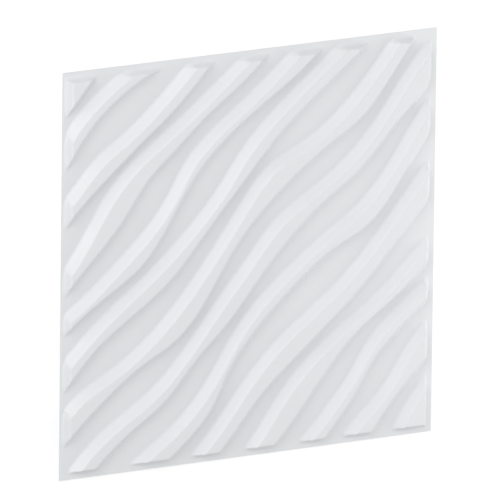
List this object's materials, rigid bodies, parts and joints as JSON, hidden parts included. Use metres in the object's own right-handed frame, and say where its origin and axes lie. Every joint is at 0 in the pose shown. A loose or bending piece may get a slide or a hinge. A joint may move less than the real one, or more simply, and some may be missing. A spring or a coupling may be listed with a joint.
{
  "type": "3d wall panel tile",
  "caption": "Square thermoformed PVC wall panel with a flat rim and a relief of diagonal wavy flat-topped ridges, hollow at the back, glued to a wall as cladding.",
  "frame": {"origin": "middle of the glue face at the back of the panel, which lies on the floor", "axes": "+Z out of the relief side, +X along the panel's lower edge, +Y up the panel as it hangs on the wall"},
  "size_m": [0.5, 0.5, 0.012],
  "materials": {
    "white_pvc": "matt white thermoformed rigid PVC sheet"
  },
  "bodies": {
    "root": {"wall_panel": "white_pvc"}
  },
  "joints": []
}
